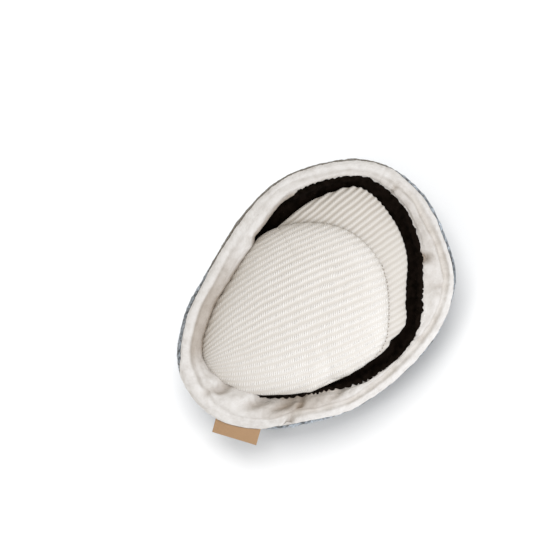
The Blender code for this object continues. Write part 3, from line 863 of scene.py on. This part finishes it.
def new_material(name, colour, roughness, sheen, sheen_tint, specular=SPECULAR_LEVEL):
    """A Principled material whose even values are set on its own sockets."""
    material = bpy.data.materials.new(name)
    material.use_nodes = True
    shader = material.node_tree.nodes["Principled BSDF"]
    shader.inputs["Base Color"].default_value = (*colour, 1.0)
    shader.inputs["Roughness"].default_value = roughness
    shader.inputs["Specular IOR Level"].default_value = specular
    shader.inputs["Sheen Weight"].default_value = sheen
    shader.inputs["Sheen Roughness"].default_value = SHEEN_ROUGHNESS
    shader.inputs["Sheen Tint"].default_value = (*sheen_tint, 1.0)
    return material, material.node_tree, shader


def add_node(tree, kind, inputs=(), **settings):
    """Add a node, and link or set each input by whether it is a socket or a value."""
    node = tree.nodes.new(kind)
    for key, value in settings.items():
        setattr(node, key, value)
    for socket, value in dict(inputs).items():
        if isinstance(value, bpy.types.NodeSocket):
            tree.links.new(value, node.inputs[socket])
        else:
            node.inputs[socket].default_value = value
    return node


def field_node(tree, name):
    return add_node(tree, "ShaderNodeAttribute", attribute_name=name).outputs["Fac"]


def noise_node(tree, size, detail=3.0, roughness=0.55):
    """Noise in the toy's own space, with bumps about as wide as the size in metres."""
    values = {"Vector": add_node(tree, "ShaderNodeTexCoord").outputs["Object"],
              "Scale": 1.0 / size, "Detail": detail, "Roughness": roughness}
    return add_node(tree, "ShaderNodeTexNoise", values).outputs["Fac"]


def maths(tree, operation, *values):
    return add_node(tree, "ShaderNodeMath", dict(enumerate(values)), operation=operation).outputs[0]


def half_and_half(tree, value):
    """Half of the value plus a half, which brings -1 to 1 into 0 to 1."""
    return maths(tree, "MULTIPLY_ADD", value, 0.5, 0.5)


def wave_node(tree, count):
    """A wave from 0 to 1 that peaks at each whole count."""
    return half_and_half(tree, maths(tree, "COSINE", maths(tree, "MULTIPLY", count, 2.0 * math.pi)))


def ramp_node(tree, factor, stops):
    ramp = add_node(tree, "ShaderNodeValToRGB", {"Fac": factor})
    elements = ramp.color_ramp.elements
    while len(elements) < len(stops):
        elements.new(0.5)
    for element, (place, colour) in zip(elements, stops):
        element.position = place
        element.color = (*colour, 1.0)
    return ramp.outputs["Color"]


def mixed(tree, kind, factor, first, second):
    values = {0: factor, 6: first, 7: second}
    return add_node(tree, "ShaderNodeMix", values, data_type="RGBA", blend_type=kind).outputs[2]


def dimmed(tree, colour, factor, stops, share=1.0):
    """Multiply a colour by a ramp of tints."""
    return mixed(tree, "MULTIPLY", share, colour, ramp_node(tree, factor, stops))


def finished(made, colour, height, distance, strength):
    """Give a new material its colour and its bump."""
    material, tree, shader = made
    values = {"Height": height, "Distance": distance, "Strength": strength}
    bump = add_node(tree, "ShaderNodeBump", values)
    tree.links.new(colour, shader.inputs["Base Color"])
    tree.links.new(bump.outputs["Normal"], shader.inputs["Normal"])
    return material


def grey(value):
    return (value, value, value)


def shell_material():
    """Blue-grey plush, mottled and specked, with painted shade in the dips of its pile and edge beads,
    painted highlight on the bead tips, and browner along its edge at the back.
    """
    made = new_material("shell_plush", (0.24, 0.28, 0.32), roughness=0.85, sheen=0.35,
                        sheen_tint=(0.8, 0.86, 0.92))
    tree = made[1]
    blotch = noise_node(tree, 9.0 * MM, detail=4.0, roughness=0.62)
    colour = ramp_node(tree, blotch, ((0.30, (0.20, 0.225, 0.24)), (0.45, (0.34, 0.385, 0.43)),
                                      (0.60, (0.42, 0.47, 0.52)), (0.78, (0.53, 0.56, 0.58))))
    speck = noise_node(tree, 1.5 * MM, detail=2.0, roughness=0.5)
    colour = dimmed(tree, colour, speck, ((0.40, (0.36, 0.31, 0.27)), (0.52, WHITE)), share=0.85)
    # Painted shade in the dips of the pile and painted highlight on its tips: the field fur holds the
    # pile's relief.
    fur = half_and_half(tree, field_node(tree, "fur"))
    colour = dimmed(tree, colour, fur, ((0.0, grey(0.5)), (1.0, grey(1.1))), share=0.6)
    # Painted shade between the edge beads and painted highlight on their tips: the field beads holds
    # their relief.
    beads = half_and_half(tree, field_node(tree, "beads"))
    colour = dimmed(tree, colour, beads, ((0.25, grey(0.42)), (0.5, WHITE), (0.8, grey(1.5))))
    # Browner on the edge rows between BROWN_FROM and BROWN_TO.
    brown = maths(tree, "MULTIPLY", field_node(tree, "brown"), 0.7)
    colour = mixed(tree, "MIX", brown, colour, (0.22, 0.18, 0.13, 1.0))
    return finished(made, colour, noise_node(tree, 0.9 * MM, detail=2.0), 0.5 * MM, strength=0.7)


def lining_material():
    """White plush, with painted shade in its grooves, deep dents, pile dips and towards its inner edge.
    """
    made = new_material("lining_plush", (0.80, 0.785, 0.765), roughness=0.8, sheen=0.25,
                        sheen_tint=(1.0, 0.99, 0.97))
    tree = made[1]
    cloud = noise_node(tree, 14.0 * MM)
    colour = ramp_node(tree, cloud, ((0.3, (0.78, 0.765, 0.745)), (0.7, (0.835, 0.825, 0.81))))
    # Painted shade in the dips of the pile: the field fur holds the pile's relief.
    fur = half_and_half(tree, field_node(tree, "fur"))
    colour = dimmed(tree, colour, fur, ((0.1, (0.80, 0.78, 0.755)), (0.6, WHITE)), share=0.8)
    tuft = noise_node(tree, 3.5 * MM, roughness=0.6)
    colour = dimmed(tree, colour, tuft, ((0.36, (0.955, 0.95, 0.94)), (0.6, WHITE)))
    # Painted shade in the topstitched grooves.
    seam = field_node(tree, "seam")
    colour = dimmed(tree, colour, seam, ((0.1, WHITE), (1.0, (0.88, 0.855, 0.82))))
    painted_shade = field_node(tree, "painted_shade")
    colour = dimmed(tree, colour, painted_shade, ((0.0, WHITE), (1.0, (0.50, 0.43, 0.36))))
    fibre = noise_node(tree, 0.8 * MM, detail=2.0, roughness=0.6)
    return finished(made, colour, fibre, 0.35 * MM, strength=0.6)


def mantle_material():
    """Black-brown plush without gloss, with painted shade in the dips of its tufts."""
    made = new_material("mantle_plush", (0.006, 0.004, 0.003), roughness=1.0, sheen=0.015,
                        sheen_tint=(0.6, 0.5, 0.45), specular=0.04)
    tree = made[1]
    # Painted shade in the dips of the tufts: the field fur holds their relief.
    fur = half_and_half(tree, field_node(tree, "fur"))
    colour = ramp_node(tree, fur, ((0.1, (0.003, 0.002, 0.001)), (0.9, (0.011, 0.007, 0.005))))
    fibre = noise_node(tree, 0.8 * MM, roughness=0.6)
    return finished(made, colour, fibre, 0.6 * MM, strength=0.8)


def ribbed_material(name, colour, furrow, fleck_depth):
    """Cream cloth: pale ribs with painted shade in the furrows between them, and short upright flecks
    on each rib.
    """
    made = new_material(name, colour, roughness=0.85, sheen=0.15, sheen_tint=(1.0, 0.98, 0.94))
    tree = made[1]
    count = field_node(tree, "ribs")
    rib = wave_node(tree, count)
    slant = maths(tree, "MULTIPLY", count, FLECK_SLANT)
    sway = maths(tree, "MULTIPLY", noise_node(tree, 5.0 * MM, detail=1.0), FLECK_SWAY)
    beat = maths(tree, "ADD", maths(tree, "SUBTRACT", field_node(tree, "reach"), slant), sway)
    cell = {"X": maths(tree, "ROUND", beat), "Y": maths(tree, "ROUND", count)}
    cell = add_node(tree, "ShaderNodeCombineXYZ", cell).outputs[0]
    chance = add_node(tree, "ShaderNodeTexWhiteNoise", {"Vector": cell}).outputs["Value"]
    fleck = maths(tree, "MULTIPLY", wave_node(tree, beat), half_and_half(tree, chance))
    fleck = maths(tree, "MULTIPLY", fleck, rib)
    # Painted shade in the furrows, weaker where the field crisp is low.
    furrows = ramp_node(tree, rib, ((0.0, furrow), (0.7, WHITE)))
    furrows = mixed(tree, "MULTIPLY", field_node(tree, "crisp"), (*WHITE, 1.0), furrows)
    dim = tuple(1.0 - fleck_depth * part for part in (0.9, 1.0, 1.15))
    tone = dimmed(tree, furrows, fleck, ((0.0, dim), (0.75, WHITE)))
    cloud = noise_node(tree, 20.0 * MM)
    tone = dimmed(tree, tone, cloud, ((0.3, (0.96, 0.955, 0.945)), (0.7, WHITE)))
    shade = mixed(tree, "MULTIPLY", 1.0, tone, (*colour, 1.0))
    grain = maths(tree, "MULTIPLY", noise_node(tree, 0.5 * MM, detail=2.0, roughness=0.6), 0.3)
    height = maths(tree, "ADD", fleck, grain)
    return finished(made, shade, height, 3.0 * fleck_depth * MM, strength=0.8)


def tag_material():
    """Tan woven tape."""
    made = new_material("tan_tape", (0.50, 0.31, 0.17), roughness=0.75, sheen=0.15,
                        sheen_tint=(1.0, 0.9, 0.8))
    tree = made[1]
    weave = half_and_half(tree, field_node(tree, "rib"))
    colour = ramp_node(tree, weave, ((0.0, (0.44, 0.275, 0.155)), (1.0, (0.53, 0.345, 0.20))))
    colour = dimmed(tree, colour, noise_node(tree, 1.2 * MM), ((0.3, grey(0.9)), (0.7, WHITE)))
    return finished(made, colour, noise_node(tree, 0.4 * MM, detail=2.0), 0.08 * MM, strength=0.5)


def dark_thread_material():
    """Brown thread, made once for all the stitches."""
    if "dark_thread" in bpy.data.materials:
        return bpy.data.materials["dark_thread"]
    material, tree, shader = new_material("dark_thread", (0.3, 0.22, 0.16), roughness=0.7, sheen=0.1,
                                          sheen_tint=(1.0, 0.9, 0.8))
    fibre = noise_node(tree, 0.4 * MM, detail=2.0)
    colour = ramp_node(tree, fibre, ((0.3, (0.22, 0.165, 0.12)), (0.7, (0.45, 0.37, 0.29))))
    tree.links.new(colour, shader.inputs["Base Color"])
    return material


def dress_toy():
    """Make every piece, and hide the part of model.glb that each stands for."""
    ribbed_front = ribbed_material("cream_ribs", (0.96, 0.95, 0.93), furrow=(0.92, 0.91, 0.895),
                                   fleck_depth=0.18)
    # The back lobe is the same cream cloth as the front; its darker colour is painted shade.
    ribbed_back_painted_shade = ribbed_material("cream_ribs_back_painted_shade", (0.77, 0.745, 0.705),
                                  furrow=(0.78, 0.755, 0.72), fleck_depth=0.05)
    front = make_lobe("lobe_front_cloth", front_radius, FRONT_RIB_ANGLE, front_top, front_underside,
                      front_ribs, front_crispness, FRONT_RIB_RISE, FRONT_GRID, 71, ribbed_front)
    back = make_lobe("lobe_back_cloth", back_radius, BACK_RIB_ANGLE, back_top, back_underside,
                     back_ribs, back_crispness, BACK_RIB_RISE, BACK_GRID, 81, ribbed_back_painted_shade)
    pieces = {"shell": make_shell(), "lining": make_lining(), "mantle": make_mantle(),
              "lobe_front": front, "lobe_back": back, "tag": make_tag()}
    for node, piece in pieces.items():
        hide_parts(node)
    stitches = [make_lobe_stitches(), make_tag_stitches()]
    return list(pieces.values()) + stitches


def make_floor():
    """A plain pale floor under the toy."""
    bpy.ops.mesh.primitive_plane_add(size=12.0, location=(0.0, 0.0, -0.0002))
    floor = bpy.context.object
    floor.name = "floor"
    colour = tuple(FLOOR_BRIGHTNESS * min(WARM) / part for part in WARM)
    made = new_material("floor", colour, roughness=0.9, sheen=0.0, sheen_tint=WHITE, specular=0.0)
    floor.data.materials.append(made[0])
    return floor


def picture_direction(right, up):
    """Turn a direction in the picture into one on the floor."""
    turn = math.radians(-TOY_TURN)
    return right * math.cos(turn) - up * math.sin(turn), right * math.sin(turn) + up * math.cos(turn)


def make_camera():
    """Look straight down, turned so that the toy lies as in the picture."""
    right = (PICTURE_MIDDLE[0] - WELL_IN_PICTURE[0]) * PIXEL
    up = (WELL_IN_PICTURE[1] - PICTURE_MIDDLE[1]) * PIXEL
    x, y = picture_direction(right, up)
    data = bpy.data.cameras.new("camera")
    data.sensor_width = 36.0
    data.lens = data.sensor_width * CAMERA_REACH / (PICTURE_SIDE * PIXEL)
    data.clip_end = 20.0
    camera = bpy.data.objects.new("camera", data)
    camera.location = (x + SHIFT[0], y + SHIFT[1], RIM_PLANE + CAMERA_REACH)
    camera.rotation_euler = (0.0, 0.0, math.radians(-TOY_TURN))
    bpy.context.scene.collection.objects.link(camera)
    bpy.context.scene.camera = camera


def make_area_light(name, heading, rise, reach, size, power, colour, lit):
    """A square soft light by its heading in the picture, for the objects it lights."""
    flat = reach * math.cos(math.radians(rise))
    x, y = picture_direction(*(float(part) for part in on_circle(flat, heading)))
    place = Vector((x, y, reach * math.sin(math.radians(rise))))
    data = bpy.data.lights.new(name, "AREA")
    data.size = size
    data.energy = power
    data.color = colour
    light = bpy.data.objects.new(name, data)
    light.location = place
    light.rotation_euler = (-place).to_track_quat("-Z", "Y").to_euler()
    bpy.context.scene.collection.objects.link(light)
    group = bpy.data.collections.new(name + "_lights")
    for item in lit:
        group.objects.link(item)
    light.light_linking.receiver_collection = group


def make_light(pieces, floor):
    """Light the toy from the lower right of the picture, and the floor from its top and left."""
    make_area_light("key", heading=-30.0, rise=60.0, reach=0.5, size=0.35, power=1.28, colour=COOL,
                    lit=pieces)
    make_area_light("floor_key", heading=104.0, rise=66.0, reach=1.6, size=0.9, power=20.0, colour=WARM,
                    lit=[floor])
    make_area_light("floor_fill", heading=200.0, rise=60.0, reach=1.6, size=0.5, power=5.0, colour=WARM,
                    lit=[floor])
    world = bpy.data.worlds.new("studio")
    world.use_nodes = True
    background = world.node_tree.nodes["Background"]
    background.inputs["Color"].default_value = (*WARM, 1.0)
    background.inputs["Strength"].default_value = WORLD_STRENGTH
    bpy.context.scene.world = world
    bpy.context.scene.view_settings.view_transform = "Standard"


pieces = dress_toy()
floor = make_floor()
make_camera()
make_light(pieces, floor)
